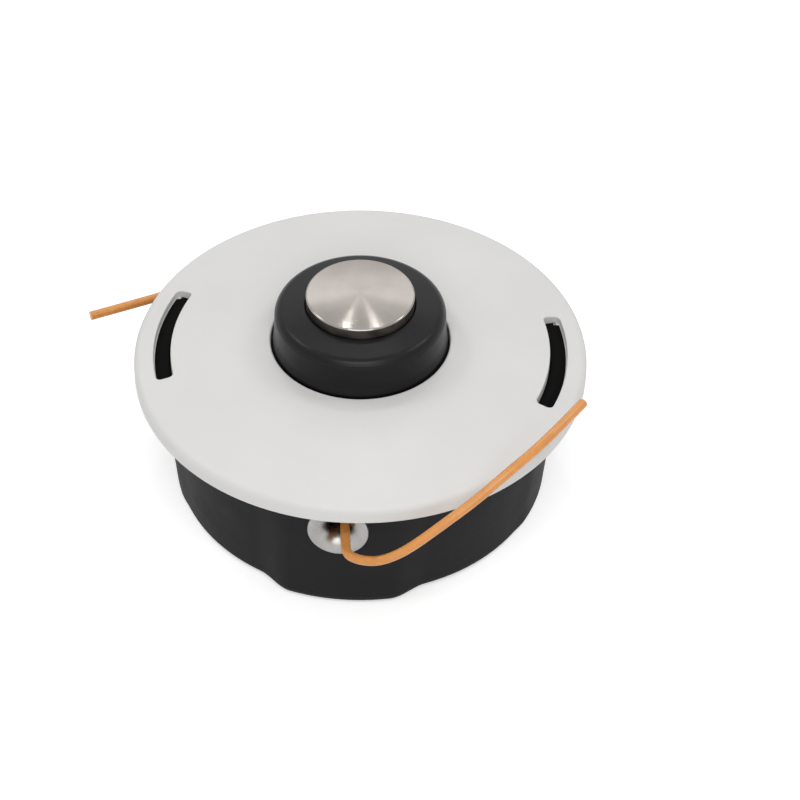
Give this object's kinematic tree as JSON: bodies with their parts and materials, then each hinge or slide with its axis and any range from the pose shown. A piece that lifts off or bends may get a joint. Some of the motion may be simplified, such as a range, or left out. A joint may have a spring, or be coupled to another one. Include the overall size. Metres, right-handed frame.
{
  "type": "bump feed trimmer head",
  "caption": "Round bump feed trimmer head with a domed clip-on cover, a sprung tap knob with a steel wear button, and stiff line led out through steel eyelets.",
  "frame": {"origin": "on the head's axis, in the plane of the foot ring that it stands on, which is the side that goes to the machine", "axes": "+Z along the head's axis towards the tap knob; -Y and +Y through the front and rear line eyelets; -X and +X through the two cover latches"},
  "size_m": [0.1501, 0.141, 0.0676],
  "materials": {
    "cover_nylon": "fine matt texture",
    "black_nylon": "satin, glass-filled",
    "spool_nylon": "satin",
    "button_steel": "turned face",
    "eyelet_steel": "ground, nickel-grey",
    "plated_steel": "zinc-plated",
    "spring_steel": "drawn wire",
    "line_nylon": "satin monofilament"
  },
  "bodies": {
    "housing": {"housing": "black_nylon", "arbor_bush": "plated_steel", "eyelet_front": "eyelet_steel", "eyelet_rear": "eyelet_steel", "spring_base_washer": "plated_steel", "return_spring": "spring_steel", "line_lead_front": "line_nylon", "line_lead_rear": "line_nylon", "line_tail_front": "line_nylon", "line_tail_rear": "line_nylon"},
    "spring_seat": {"spring_seat": "plated_steel"},
    "spool": {"spool": "spool_nylon", "tap_knob": "black_nylon", "wear_button": "button_steel", "button_washer": "plated_steel", "button_nut": "plated_steel", "line_coil_upper": "line_nylon", "line_coil_lower": "line_nylon"},
    "cover": {"cover": "cover_nylon"}
  },
  "joints": [
    {"name": "knob_press", "type": "slide", "parent": "housing", "child": "spring_seat", "axis": [0, 0, -1], "range_m": [0, 0.006], "stiffness_N_per_m": 1900, "springref_m": -0.012, "deforming": ["return_spring"]},
    {"name": "spool_spin", "type": "hinge", "parent": "spring_seat", "child": "spool", "pos_m": [0, 0, 0.044], "axis": [0, 0, 1], "continuous": true},
    {"name": "cover_lift", "type": "slide", "parent": "housing", "child": "cover", "axis": [0, 0, 1], "range_m": [0, 0.04]}
  ]
}
